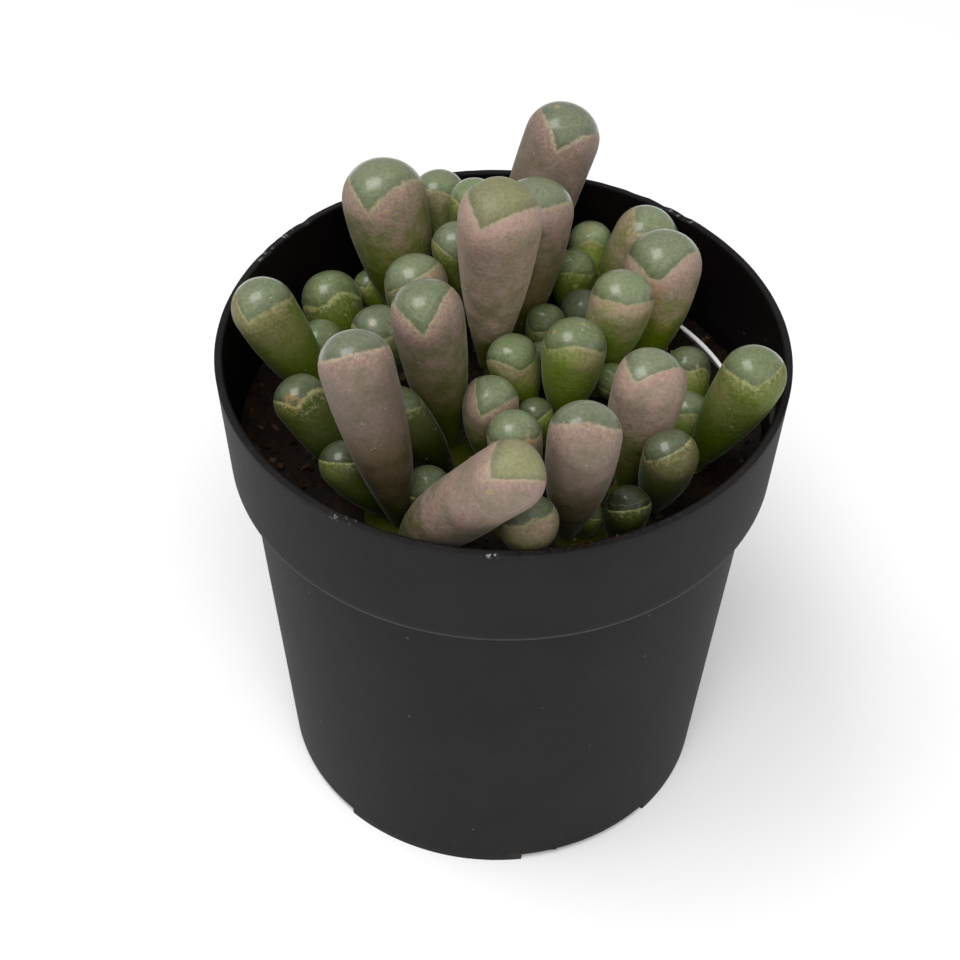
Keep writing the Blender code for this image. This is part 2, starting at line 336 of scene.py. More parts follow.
plastic, nodes = material("black_plastic", specular_ior_level=0.14)
place = nodes.node("TexCoord", output=3)
across, along, height = place.parts()
radius = (across * across + along * along) ** 0.5 / MM
level = height / MM
cloud = place.noise(90.0, 3.0, 0.6)
grain = place.noise(2600.0, 2.0, 0.6)
speck = place.cells(620.0).step(0.12, 0.05) * place.cells(620.0, 1).parts()[0].step(0.9, 0.93)
spots = 0.02
for angle, reach in SCUFFS:
    spot = Matrix.Rotation(math.radians(angle), 3, "Z") @ Vector((RIM_RADIUS, 0, POT_HEIGHT))
    spots = spots + place.near(*spot, reach)
scuff_grain = place.noise(1700.0, 3.0, 0.75).step(0.53, 0.66)
edge = level.step(POT_HEIGHT - 0.9, POT_HEIGHT - 0.15)
edge = edge * radius.step(RIM_RADIUS - WALL, RIM_RADIUS - 0.45)
scuff = edge * (spots * place.noise(420.0, 2.0, 0.6).step(0.4, 0.62)).least(1.0) * scuff_grain
# Painted highlight: a lighter grey line along the collar's lower edge.
collar_highlight = 1 - abs(level - COLLAR_FOOT - 0.12).step(0.0, 0.28)
collar_highlight = collar_highlight * radius.step(COLLAR_FOOT_RADIUS - 0.6, COLLAR_FOOT_RADIUS)
collar_highlight = collar_highlight * (0.4 + place.noise(420.0, 2.0, 0.6))
flare = (RIM_RADIUS - COLLAR_FOOT_RADIUS) / (POT_HEIGHT - COLLAR_FOOT)
sunk = COLLAR_FOOT_RADIUS + (level - COLLAR_FOOT) * flare - radius
inside = sunk.step(WALL - 0.3, WALL - 0.1) * level.step(LEDGE - 1, LEDGE)
# Painted reflection: light grey patches on the collar's inner wall, broken up by noise.
wall_reflection = 0.0
for patch in REFLECTION_PATCHES:
    wall_reflection = wall_reflection + place.near(*patch)
wall_reflection = inside * wall_reflection * place.noise(330.0, 3.0, 0.6).step(0.42, 0.5)
stain = (1 - level.step(0.4, 5.0)) * place.noise(340.0, 4.0, 0.65).step(0.55, 0.68)
colour = cloud.step(0.3, 0.75).mix(PLASTIC_BLACK, PLASTIC_FADED)
# Painted shade: the collar's inner wall above the ledge is darkened nearly to black.
colour = (inside * 0.9).mix(colour, PLASTIC_SHADED)
colour = (stain * 0.5).mix(colour, SOIL_STAIN)
colour = (collar_highlight * 0.6).mix(colour, PAINTED_COLLAR_HIGHLIGHT)
colour = (speck * 0.45).mix(colour, SPECK)
colour = (wall_reflection * 0.8).mix(colour, PAINTED_REFLECTION_GREY)
colour = (scuff * 0.7).mix(colour, PLASTIC_SCUFFED)
rough = 0.5 + 0.16 * cloud + 0.1 * grain + 0.2 * scuff
plug(plastic, colour, rough, grain + 0.8 * cloud + 2.0 * scuff, 0.00002)
dress(pot, plastic)
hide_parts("pot")


# Potting mix
# Dark, damp peat with bark dust fills the pot to 12 mm under the rim and is banked up a little
# against the wall. Its surface is crumbly, and loose crumbs lie on it and on the rim.

SOIL_LEVEL = POT_HEIGHT - 11.8
SOIL_EDGE_RISE = 1.2
SOIL_RINGS = 84
SOIL_STEPS = 264
TOUCH_GAP = 0.32
LUMP = 0.16
CLOD = 0.34
CRUMBLE = 0.5
DUST = 0.09
CRUMBLE_SINK = 0.1


def soil_height(x, y):
    """The banked, lumpy surface, in millimetres."""
    reach = min(math.hypot(x, y) / body_radius(LEDGE), 1.0)
    lumps = math.sin(0.9 * x + 0.4 * y) + math.sin(1.3 * y - 0.5 * x) + math.sin(0.55 * x * math.cos(0.2 * y))
    return SOIL_LEVEL + SOIL_EDGE_RISE * reach ** 8 + LUMP * lumps * (1 - reach ** 6)


def crumbly_height(x, y):
    """The same surface with its clods, crumbs and dust."""
    at = Vector((x, y, 0))
    clod = noise.noise(at * 0.8) * CLOD
    crumble = abs(noise.noise(at * 2.1 + Vector((7, 3, 1)))) * CRUMBLE
    dust = noise.noise(at * 5.5) * DUST
    return soil_height(x, y) + clod + crumble + dust - CRUMBLE_SINK


# The disc that caps the mix is spun at the rim's height, then dropped to the crumbly surface.
soil_edge = collar_radius(LEDGE + TOUCH_GAP) - TOUCH_GAP
soil_shoulder = body_radius(LEDGE) - TOUCH_GAP
rings = [(soil_edge * ring / SOIL_RINGS, POT_HEIGHT) for ring in range(SOIL_RINGS, -1, -1)]
soil = turned("potting_mix", [
    (0, FLOOR_TOP + TOUCH_GAP),
    (body_radius(FLOOR_TOP) - TOUCH_GAP, FLOOR_TOP + TOUCH_GAP),
    (soil_shoulder, LEDGE + TOUCH_GAP),
    (soil_edge, LEDGE + TOUCH_GAP),
] + rings, SOIL_STEPS)
for vertex in soil.data.vertices:
    if vertex.co.z > (POT_HEIGHT - EDGE_ROW) * MM:
        vertex.co.z = crumbly_height(vertex.co.x / MM, vertex.co.y / MM) * MM
smooth(soil, 75)

PEAT_DARK = (0.0035, 0.002, 0.0012)
PEAT_BROWN = (0.012, 0.0065, 0.0035)
FIBRE = (0.035, 0.02, 0.011)
BARK_FLAKE = (0.07, 0.046, 0.026)

peat, nodes = material("peat", specular_ior_level=0.25)
place = nodes.node("TexCoord", output=3)
clump = place.noise(700.0, 4.0, 0.7)
fibre = place.noise(2400.0, 3.0, 0.7)
flake = place.cells(1300.0, 1).parts()[0]
colour = clump.step(0.35, 0.7).mix(PEAT_DARK, PEAT_BROWN)
colour = (fibre.step(0.58, 0.72) * 0.5).mix(colour, FIBRE)
colour = (flake.step(0.96, 0.98) * 0.5).mix(colour, BARK_FLAKE)
plug(peat, colour, 0.72 + 0.25 * clump, clump + 0.5 * fibre, 0.00018)
dress(soil, peat)
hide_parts("soil")

# Loose crumbs of bark and grit: most lie on the soil, a few on the front of the rim, between two
# compass angles and thickest at a third. Pale husks lie where the leaves leave gaps: each is its
# x, y and size. A crumb's tone runs from 0, dark peat, by bark to 1, pale husk.
CRUMB_COUNT = 620
CRUMB_SIZE = 0.12
CRUMB_SIZE_SPREAD = 0.34
CRUMB_TONE = 0.7
RIM_CRUMBS = 60
RIM_CRUMB_ANGLES = (-88, -52, -80)
RIM_CRUMB_SIZES = (0.05, 0.17)
RIM_CRUMB_TONES = (0.1, 0.45)
HUSK_TONE = 0.9
HUSKS = ((14.3, 15.4, 0.5), (16.6, 12.9, 0.42), (17.6, 12.2, 0.34), (18.6, 5.6, 0.5), (19.0, 4.9, 0.42),
         (18.2, 6.4, 0.36), (-6.3, -12.6, 0.5), (-14.0, 9.6, 0.45), (15.0, 17.2, 0.4), (-2.0, -16.5, 0.5))

bpy.ops.object.select_all(action="DESELECT")
bpy.ops.mesh.primitive_ico_sphere_add(subdivisions=1, radius=1.0)
crumb = bpy.context.object
random.seed(11)


def scattered(x, y, z, size, tone):
    """A copy of the crumb: a lump of its own, turned at random and set down at a place in millimetres."""
    piece = crumb.copy()
    piece.data = crumb.data.copy()
    bpy.context.collection.objects.link(piece)
    shift = Vector((random.uniform(0, 50), random.uniform(0, 50), random.uniform(0, 50)))
    long, flat = random.uniform(0.7, 1.7), random.uniform(0.4, 1.0)
    turn = (Matrix.Rotation(random.uniform(0, math.tau), 3, "Z")
            @ Matrix.Rotation(random.uniform(-0.6, 0.6), 3, "X"))
    for vertex in piece.data.vertices:
        lump = 1 + 0.55 * noise.noise(vertex.co * 1.1 + shift)
        spot = Vector((vertex.co.x * long, vertex.co.y / long, vertex.co.z * flat)) * lump * size
        vertex.co = (turn @ spot + Vector((x, y, z))) * MM
    tones = piece.data.attributes.new("tone", "FLOAT", "POINT")
    tones.data.foreach_set("value", [tone] * len(piece.data.vertices))
    return piece


crumbs = []
for index in range(CRUMB_COUNT):
    angle = random.uniform(0, math.tau)
    reach = (soil_edge - 0.6) * random.random() ** 0.4
    x, y = reach * math.cos(angle), reach * math.sin(angle)
    size = CRUMB_SIZE + CRUMB_SIZE_SPREAD * random.random() ** 2
    tone = random.random() ** 2 * CRUMB_TONE
    crumbs.append(scattered(x, y, crumbly_height(x, y) + 0.25 * size, size, tone))
for x, y, size in HUSKS:
    crumbs.append(scattered(x, y, crumbly_height(x, y) + 0.4 * size, size, HUSK_TONE))
for index in range(RIM_CRUMBS):
    angle = math.radians(random.triangular(*RIM_CRUMB_ANGLES))
    reach = random.uniform(RIM_RADIUS - WALL + 0.1, RIM_RADIUS - 0.25)
    size = random.uniform(*RIM_CRUMB_SIZES)
    tone = random.uniform(*RIM_CRUMB_TONES)
    crumbs.append(scattered(reach * math.cos(angle), reach * math.sin(angle), POT_HEIGHT + 0.2 * size,
                            size, tone))
bpy.data.objects.remove(crumb)
bpy.ops.object.select_all(action="DESELECT")
for piece in crumbs:
    piece.select_set(True)
bpy.context.view_layer.objects.active = crumbs[0]
bpy.ops.object.join()
litter = crumbs[0]
litter.name = "soil_crumbs"
smooth(litter, 30)

CRUMB_PEAT = (0.006, 0.0035, 0.002)
CRUMB_BARK = (0.05, 0.026, 0.011)
CRUMB_HUSK = (0.3, 0.25, 0.12)

husk, nodes = material("bark_and_husk", specular_ior_level=0.2)
place = nodes.node("TexCoord", output=3)
tone = nodes.node("Attribute", {"attribute_name": "tone"}, output=2)
grit = place.noise(3000.0, 3.0, 0.7)
colour = tone.step(0.15, 0.6).mix(CRUMB_PEAT, CRUMB_BARK)
colour = tone.step(CRUMB_TONE, HUSK_TONE).mix(colour, CRUMB_HUSK)
colour = (grit.step(0.4, 0.7) * 0.5).mix(colour, colour.scaled(0.35))
plug(husk, colour, 0.7 + 0.25 * grit, grit, 0.00005)
dress(litter, husk)


# Plant label
# A strip of white PVC with rounded top corners, pushed down between the soil and the wall until
# only its top edge shows. It is blank.

LABEL_START = 14.0
LABEL_END = 47.0
LABEL_THICKNESS = 0.4
LABEL_TOP = 42.7
LABEL_SHOULDER = 33.0
LABEL_POINT = 27.0
LABEL_STEPS = 44
LABEL_TILT = 0.009
LABEL_CORNER = 0.9
LABEL_CORNER_POWER = 14
LABEL_EDGE_ROUND = 0.06
LABEL_WHITE = (0.97, 0.97, 0.96)
LABEL_DARK = (0.03, 0.02, 0.012)

label = turned("label_strip", [
    (body_radius(LABEL_POINT) - TOUCH_GAP - LABEL_THICKNESS, LABEL_POINT),
    (body_radius(LABEL_POINT) - TOUCH_GAP, LABEL_POINT),
    (body_radius(LABEL_TOP) - TOUCH_GAP, LABEL_TOP),
    (body_radius(LABEL_TOP) - TOUCH_GAP - LABEL_THICKNESS, LABEL_TOP),
], LABEL_STEPS, start=LABEL_START, sweep=LABEL_END - LABEL_START)

# The top row is tilted and its corners rounded; the bottom row becomes a point.
for vertex in label.data.vertices:
    angle = math.degrees(math.atan2(vertex.co.y, vertex.co.x))
    side = abs(2 * (angle - LABEL_START) / (LABEL_END - LABEL_START) - 1)
    if vertex.co.z > LABEL_SHOULDER * MM:
        corner = LABEL_CORNER * side ** LABEL_CORNER_POWER
        vertex.co.z -= (corner + LABEL_TILT * (angle - LABEL_START)) * MM
    else:
        lift = (LABEL_SHOULDER - LABEL_POINT) * side
        vertex.co.z += lift * MM
        drift = (body_radius(LABEL_POINT + lift) - body_radius(LABEL_POINT)) * MM
        flat = Vector((vertex.co.x, vertex.co.y, 0)).normalized()
        vertex.co += flat * drift
applied(label, "BEVEL", width=LABEL_EDGE_ROUND * MM, segments=2, limit_method="ANGLE",
        angle_limit=math.radians(50))
smooth(label)

# The label is darkened nearly to black from a little under its top edge down, so only the edge shows white:
# sunk is the depth under that edge.
label.data.attributes.new("sunk", "FLOAT", "POINT")
sunk_values = label.data.attributes["sunk"].data
for vertex, sunk in zip(label.data.vertices, sunk_values):
    angle = math.degrees(math.atan2(vertex.co.y, vertex.co.x))
    sunk.value = LABEL_TOP - LABEL_TILT * (angle - LABEL_START) - vertex.co.z / MM

white_plastic, nodes = material("white_plastic", specular_ior_level=0.5)
place = nodes.node("TexCoord", output=3)
sunk = nodes.node("Attribute", {"attribute_name": "sunk"}, output=2)
dirt = place.noise(1500.0, 4.0, 0.7).step(0.52, 0.75)
low = (sunk - 0.05 * dirt).step(0.1, 0.25)
colour = (0.04 * dirt + 0.93 * low).least(1.0).mix(LABEL_WHITE, LABEL_DARK)
plug(white_plastic, colour, 0.32 + 0.3 * dirt, dirt, 0.00002)
dress(label, white_plastic)
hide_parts("plant_label")


# Rosettes
# Each is a short crown sunk in the soil, with club-shaped leaves grown from it. A leaf's skin is
# waxy and finely mottled: green where it is shaded, mauve where the sun reached it. Its round tip
# is a clear window, glossy and sage green, edged by a pale line that dips to a point on its keel.

# Each rosette: its crown's centre and radius, then its leaves. A leaf is its foot (x, y), its lean
# from upright, the compass angle that it leans towards, its length, its width and its taper. Then
# its window: the compass angle that its lower point faces, how high the point sits, how steeply
# the edge climbs from it and how much steeper on the right; and its skin: mauve and fresh shares,
# how bright its lower part is, whether its window has dried and how bright the window is. Both
# brightnesses are partly the leaf's own tone and partly painted light and shade.
USUAL = 2.1
ROSETTES = {
    "rosette_left": ((-15.5, 5.5, 4.2), [
        (-17.5, 3, 23, -163, 17.6, 6.1, USUAL, -103, -0.45, 1.7, -0.9, 0.2, 0.5, 2.2, 0.0, 0.85),
        (-15.5, 8.5, 47, 115, 9.9, 6.1, USUAL, -100, -1.4, 1.15, 0.0, 0.0, 0.7, 1.0, 0.0, 1.15),
        (-15.5, 5, 36, 150, 7.9, 5.0, USUAL, -90, -0.55, 0.1, -1.05, 0.1, 0.8, 1.2),
        (-12.5, 6.5, 12, -81, 10.6, 5.5, USUAL, -90, -0.3, 0.8, 0.0, 0.2, 0.4, 2.4, 0.0, 0.62),
    ]),
    "rosette_front_left": ((-9.1, -12.9, 4.6), [
        (-8.5, -15.7, 36, -42, 24.5, 6.4, 5.0, -150, -0.4, 2.05, 1.45, 1.0, 0.0, 1.9, 1.0),
        (-9.5, -12.5, 35, -173, 11.0, 4.6, USUAL, -90, 0.4, 0.0, -0.7, 0.0, 1.0, 0.2, 0.0, 0.7),
        (-9, -13.5, 12, -140, 26.3, 6.7, USUAL, -90, 0.57, 0.0, 0.2, 1.0, 0.1, 0.6),
        (-11.5, -10, 44, 153, 14.5, 5.3, USUAL, -80, -0.85, 1.3, -0.6, 0.15, 0.7, 0.25),
        (-6, -13, 11, -130, 7.3, 4.3, USUAL, -90, -0.5, 0.3, 0.0, 0.0, 0.8, 0.4, 0.0, 0.8),
    ]),
    "rosette_middle_left": ((-4.2, -4.0, 3.9), [
        (-5, -2.5, 9, -136, 21.8, 6.8, USUAL, -90, -0.7, 2.0, 0.5, 0.6, 0.5, 1.05),
        (-5, -6.5, 29, -164, 12.8, 5.2, USUAL, -90, 0.2, 0.0, -0.2, 0.1, 0.6, 0.25),
        (-1.5, -4, 7, -65, 10.5, 5.3, USUAL, -110, -0.7, 2.1, -0.4, 0.55, 0.5, 1.9),
    ]),
    "rosette_middle": ((4.6, 1.0, 4.0), [
        (6, 2, 9, -61, 13.3, 6.1, USUAL, -90, 0.25, -0.3, 0.05, 0.25, 0.7, 3.8, 0.0, 0.75),
        (2.5, 3, 14, 177, 9.0, 5.1, USUAL, -65, -0.95, 1.15, -0.55, 0.4, 0.7, 3.3, 0.0, 0.88),
        (4, -1.5, 13, -146, 5.5, 3.5, USUAL, -90, -0.5, 1.0, 0.0, 0.0, 0.8, 3.4, 0.0, 0.48),
    ]),
    "rosette_middle_back": ((0.8, 10.8, 3.8), [
        (-1.5, 10, 11, -79, 25.6, 8.1, 1.6, -118, -0.3, 1.35, 0.35, 1.0, 0.1, 4.0, 1.0, 0.72),
        (1, 13, 10, 45, 18.9, 7.3, USUAL, -90, -0.2, 0.6, 0.25, 0.7, 0.2, 1.25),
        (3.5, 11.5, 16, -61, 7.0, 4.0, USUAL, -90, -0.3, 0.25, 0.7, 0.1, 0.8, 2.4, 0.0, 0.6),
        (3.5, 9, 23, -76, 4.7, 2.4, USUAL, -90, -0.5, 0.5, 0.0, 0.0, 0.4, 1.0),
    ]),
    "rosette_back_right": ((8.8, 17.0, 3.5), [
        (9, 19.5, 25, 97, 8.6, 4.6, USUAL, -90, -0.55, -0.25, 0.0, 0.2, 0.5, 4.2, 0.0, 1.35),
        (6.5, 18, 5, -22, 7.8, 4.5, USUAL, -90, -0.25, 0.0, 0.0, 0.1, 0.8, 1.8),
        (10.5, 18, 20, 3, 13.6, 6.7, USUAL, -130, -0.3, 1.3, 0.0, 0.5, 0.5, 2.3),
        (8.5, 15, 23, -109, 6.5, 4.5, USUAL, -90, -0.9, 0.5, 0.0, 0.1, 0.4, 0.4, 0.0, 0.8),
    ]),
    "rosette_right_back": ((12.0, 8.3, 4.0), [
        (14, 10, 9, 36, 15.7, 7.5, USUAL, -105, -1.0, 1.8, 0.75, 0.7, 0.4, 3.4, 0.0, 0.78),
        (9.5, 8.5, 17, -62, 16.0, 6.2, USUAL, -90, 0.15, 0.15, 0.1, 0.45, 0.5, 7.0, 0.0, 0.7),
        (11, 5.5, 31, -95, 6.3, 3.5, USUAL, -90, -0.4, 0.5, 0.0, 0.0, 1.0, 1.8),
    ]),
    "rosette_front_right": ((8.3, -14.8, 3.4), [
        (6.5, -14, 17, -81, 21.5, 6.6, USUAL, -90, 0.95, -0.4, -0.05, 0.85, 0.15, 0.9),
        (8, -14.5, 15, -63, 5.4, 2.6, USUAL, -90, -0.1, 0.0, 0.0, 0.0, 1.0, 0.5),
        (11, -15, 16, -61, 8.4, 4.2, USUAL, -90, 0.25, 0.0, 0.4, 0.0, 0.8, 0.05, 0.0, 0.55),
    ]),
    "rosette_right_front": ((13.2, -8.7, 3.4), [
        (12, -7, 9, -51, 17.8, 6.8, USUAL, -130, 0.0, 1.6, 1.1, 0.8, 0.3, 2.6, 0.0, 0.85),
        (14.5, -10.5, 18, -71, 12.9, 5.1, USUAL, -90, 0.65, 0.0, 0.9, 0.3, 0.5, 0.4, 0.0, 0.78),
    ]),
    "rosette_front": ((1.6, -12.4, 2.9), [
        (2, -10.5, 6, 150, 11.0, 5.2, USUAL, -90, -0.3, 0.1, 0.05, 0.5, 0.4, 1.8),
        (1.8, -14, 40, -82, 13.2, 5.4, USUAL, -90, 1.05, -0.4, 0.4, 0.4, 0.2, 3.2, 0.0, 0.6),
    ]),
    "rosette_right": ((18.3, -2.2, 3.2), [
        (19, -4, 20, -38, 18.0, 6.1, USUAL, -100, -0.2, 1.15, 0.95, 0.15, 0.7, 1.8, 0.0, 0.92),
        (17, -2.5, 12, 20, 6.9, 4.2, USUAL, -90, -0.1, -0.3, 0.1, 0.2, 0.7, 3.6, 0.0, 0.75),
        (18, 0, 49, 87, 8.6, 4.5, USUAL, -90, -1.3, 0.0, 0.9, 0.2, 0.4, 2.6, 0.0, 0.63),
    ]),
    "rosette_back": ((-2.4, 18.8, 3.9), [
        (-4.5, 20, 18, 136, 14.3, 5.7, USUAL, -90, -0.1, 0.0, -0.5, 0.4, 0.5, 1.6),
        (-1.5, 19, 8, -167, 15.9, 5.4, USUAL, -110, -0.3, 0.8, 0.0, 0.1, 0.8, 2.8),
        (0, 20, 19, 33, 22.7, 7.6, 2.5, -100, -0.85, 1.7, -0.15, 0.9, 0.1, 0.8),
        (-3.5, 16, 12, -128, 14.1, 5.0, USUAL, -90, -0.65, 0.1, -1.2, 0.2, 0.3, 4.0, 0.0, 0.66),
    ]),
    "rosette_back_left": ((-10.5, 14.3, 3.7), [
        (-12, 16, 31, 153, 5.8, 3.6, USUAL, -90, -0.5, 0.8, 0.0, 0.0, 0.9, 1.6),
        (-9.5, 15.5, 13, 149, 19.0, 8.4, USUAL, -105, -0.7, 1.75, -0.2, 0.55, 0.4, 1.6),
        (-8.5, 12.5, 16, -96, 13.4, 6.3, USUAL, -90, 0.5, 0.0, 0.8, 0.4, 0.5, 1.7),
    ]),
}
LEAF_FOOT_HEIGHT = 42.0
CROWN_BOTTOM = 36.0
CROWN_TOP = 42.5
ROOT_DEPTH = 1.6
FOOT_SHARE = 0.26
ROOT_SHARE = 0.94
DOME_SHARE = 0.4
DOME_POWER = 0.9
TIP_CORNERS = 0.022
WAVE = 0.03
WRINKLE = 0.03
BACK_EDGE = 0.35
UNSEEN_PANE = -9
LEAF_SEGMENTS = 40
LEAF_RINGS = 50

bpy.ops.object.select_all(action="DESELECT")
bpy.ops.mesh.primitive_uv_sphere_add(segments=LEAF_SEGMENTS, ring_count=LEAF_RINGS, radius=1.0)
bud = bpy.context.object
bud.name = "bud"


def grown(name, shape, place, skin, brightness):
    """A copy of the bud: shape moves each point, place sets it in the pot, skin fills attributes."""
    piece = bud.copy()
    piece.data = bud.data.copy()
    piece.name = name
    bpy.context.collection.objects.link(piece)
    mesh = piece.data
    for attribute in ("pane", "skin"):
        mesh.attributes.new(attribute, "FLOAT_VECTOR", "POINT")
    mesh.attributes.new("shaft_tone_and_light", "FLOAT", "POINT")
    mesh.attributes.new("clear", "FLOAT", "POINT")
    pane_values = mesh.attributes["pane"].data
    skin_values = mesh.attributes["skin"].data
    shaft_tone_and_light_values = mesh.attributes["shaft_tone_and_light"].data
    clear_values = mesh.attributes["clear"].data
    for index, vertex in enumerate(mesh.vertices):
        down = math.acos(max(-1.0, min(1.0, vertex.co.z))) / math.pi
        around = math.atan2(vertex.co.y, vertex.co.x)
        spot = shape(down, around)
        pane_values[index].vector, skin_values[index].vector = skin(spot)
        shaft_tone_and_light_values[index].value, clear_values[index].value = brightness
        vertex.co = (place @ spot) * MM
    return piece


def make_leaf(seed, foot_x, foot_y, lean, towards, length, width, taper,
              facing, rise, climb, skew, mauve, fresh, shaft_tone_and_light, dry=0.0, shade=1.0):
    """One leaf: a shaft that widens from its foot to a round tip. Its skin's numbers are pane, the
    distance inside the window's edge, up, the height over the tip's middle, and its row's shares."""
    radius = width / 2
    shaft = length - radius
    keel = math.radians(facing - towards)
    shift = Vector((seed * 3.7, seed * 1.9, seed * 0.7))
    back_edge = BACK_EDGE - lean / 90

    def shape(down, around):
        if down < DOME_SHARE:
            polar = down / DOME_SHARE * math.pi / 2
            out = radius * math.sin(polar) ** DOME_POWER
            up = shaft + radius * math.cos(polar)
        else:
            share = (down - DOME_SHARE) / (1 - DOME_SHARE)
            up = shaft - (shaft + ROOT_DEPTH) * share
            thick = max(0.0, min(1.0, 1 - up / shaft))
            out = radius * (1 - (1 - FOOT_SHARE) * thick ** taper)
            if share > ROOT_SHARE:
                out *= max(0.0, 1 - ((share - ROOT_SHARE) / (1 - ROOT_SHARE)) ** 2) ** 0.5
        edge = math.exp(-((up - shaft - 0.25 * radius) / (0.75 * radius)) ** 2)
        out *= 1 + TIP_CORNERS * math.cos(3 * around) * edge
        side = Vector((math.cos(around), math.sin(around), up / radius * 0.35))
        out *= 1 + WAVE * noise.noise(side * 1.3 + shift)
        wrinkle = noise.noise(Vector((math.cos(around) * 7, math.sin(around) * 7, up * 0.5)) + shift)
        out += WRINKLE * wrinkle * (1 - edge) * (0.4 + mauve)
        return Vector((out * math.cos(around), out * math.sin(around), up))

    def skin(spot):
        across, along, up = spot.x / radius, spot.y / radius, (spot.z - shaft) / radius
        edge = up - across - climb * abs(along) - skew * along - rise
        pane = min(edge / (1.5 + 0.5 * abs(climb)), up - back_edge)
        return (pane, up, dry), (mauve, fresh, spot.z / length)

    place = (Matrix.Translation((foot_x, foot_y, LEAF_FOOT_HEIGHT))
             @ Matrix.Rotation(math.radians(towards), 4, "Z")
             @ Matrix.Rotation(math.radians(lean), 4, "Y")
             @ Matrix.Rotation(keel, 4, "Z"))
    return grown("leaf", shape, place, skin, (shaft_tone_and_light, shade * shaft_tone_and_light ** 0.3))


def make_crown(x, y, radius):
    """The rosette's short stem, wrapped in the dull bases of older leaves."""
    middle = (CROWN_BOTTOM + CROWN_TOP) / 2
    half = (CROWN_TOP - CROWN_BOTTOM) / 2

    def shape(down, around):
        out = radius * math.sin(down * math.pi) ** 0.6 * (0.96 + 0.04 * math.cos(5 * around))
        up = middle + half * math.cos(down * math.pi)
        return Vector((out * math.cos(around), out * math.sin(around), up))

    def bare(spot):
        return (UNSEEN_PANE, 0, 0), (0, 0, 0)

    return grown("crown", shape, Matrix.Translation((x, y, 0)), bare, (1, 1))


# Ring scars and rusty, corky spots: each is its x, y, z and reach.
SCARS = ((0.8, 2.3, 63.1, 0.5), (0.3, 2.3, 61.7, 0.35), (0.6, 3.9, 56.3, 0.35), (-1.4, 3.6, 56.4, 0.35),
         (-0.8, -26.8, 60.0, 0.45), (7.5, 0.8, 55.1, 0.35), (-12.7, 3.6, 52.1, 0.4), (8.5, 21.8, 50.0, 0.6))
RUST = ((14.6, 7.4, 54.0, 1.6), (14.4, 7.2, 52.6, 1.2), (-19.5, -8.2, 52.3, 1.3), (2.5, -11.8, 51.8, 1.2),
        (13.5, 3.1, 54.1, 1.2), (3.4, 0.9, 50.9, 1.0))

GLASS_LOW = (0.07, 0.088, 0.028)
GLASS_PAINTED_SHEEN = (0.14, 0.158, 0.098)
GLASS_GRAIN = (0.17, 0.19, 0.125)
GLASS_FRESH = (0.075, 0.108, 0.024)
GLASS_DRY = (0.17, 0.165, 0.085)
GLASS_LINE = (0.3, 0.33, 0.23)
GREEN = (0.062, 0.081, 0.013)
GREEN_PALE = (0.108, 0.116, 0.036)
GREEN_FRESH = (0.085, 0.132, 0.008)
GREEN_TANNED = (0.16, 0.13, 0.07)
DEEP_GREEN_AND_SHADE = (0.03, 0.034, 0.001)
DEEP_FRESH_AND_SHADE = (0.042, 0.068, 0.001)
MAUVE = (0.16, 0.13, 0.09)
MAUVE_PALE = (0.215, 0.152, 0.125)
MAUVE_HALO = (0.28, 0.172, 0.155)
MAUVE_LOW = (0.17, 0.12, 0.05)
PEACH = (0.33, 0.27, 0.17)
MARGIN_GREEN = (0.26, 0.27, 0.11)
MARGIN_MAUVE = (0.33, 0.27, 0.19)
RUSTY = (0.3, 0.17, 0.045)
CORKY = (0.34, 0.26, 0.1)
DUSTY = (0.4, 0.36, 0.27)
BRIGHTEST = 4.5

waxy, nodes = material("leaf_skin", specular_ior_level=0.28, subsurface_weight=0.15, subsurface_scale=0.0015,
                       subsurface_radius=(1.0, 0.85, 0.3), sheen_weight=0.09, sheen_roughness=0.22,
                       coat_roughness=0.21)
place = nodes.node("TexCoord", output=3)
pane, up, dry = nodes.node("Attribute", {"attribute_name": "pane"}, output=1).parts()
mauve, fresh, reach = nodes.node("Attribute", {"attribute_name": "skin"}, output=1).parts()
shaft_tone_and_light = nodes.node("Attribute", {"attribute_name": "shaft_tone_and_light"}, output=2)
clear = nodes.node("Attribute", {"attribute_name": "clear"}, output=2)
mottle = place.noise(3000.0, 3.0, 0.7)
pebble = place.noise(1500.0, 3.0, 0.6)
blotch = place.noise(520.0, 3.0, 0.6)
patch = place.noise(190.0, 2.0, 0.5)
fringe = place.noise(2100.0, 3.0, 0.7)
below = 0.1 * (place.noise(800.0, 3.0, 0.6) - 0.5) + 0.14 * (fringe - 0.5) - pane

# The window, its pale margin, and the pinker halo under the margin.
window = below.step(0.035, -0.035)
margin = below.step(-0.05, 0.01) * (1 - below.step(0.02, 0.13))
margin = margin * (0.25 + 1.1 * blotch.step(0.3, 0.65)) * mottle.step(0.2, 0.55)
halo = below.step(0.0, 0.06) * (1 - below.step(0.1, 0.6))

# Painted reflection: the window is paler toward its top, a milky sheen of the bright surroundings, and darker
# toward its lower point.
glass = up.step(-0.6, 0.9).mix(GLASS_LOW, GLASS_PAINTED_SHEEN)
glass = (pebble.step(0.35, 0.7) * 0.5).mix(glass, GLASS_GRAIN)
glass = (fresh * 0.7).mix(glass, GLASS_FRESH)
glass = (dry * 0.9).mix(glass, GLASS_DRY)
# Each window is brightened or darkened as a whole: partly its own tone, partly painted light and shade where
# the leaf stands lit or shaded.
glass = glass.scaled((0.5 + mottle) * clear * (0.8 + 0.26 * pane.step(0.0, 0.3)))
arc = 1 - abs(0.5 * (place.noise(560.0, 2.0, 0.5) - 0.5) + pane - 0.24).step(0.0, 0.03)
glass = (arc * patch.step(0.5, 0.6) * fringe.step(0.35, 0.6) * 0.3).mix(glass, GLASS_LINE)
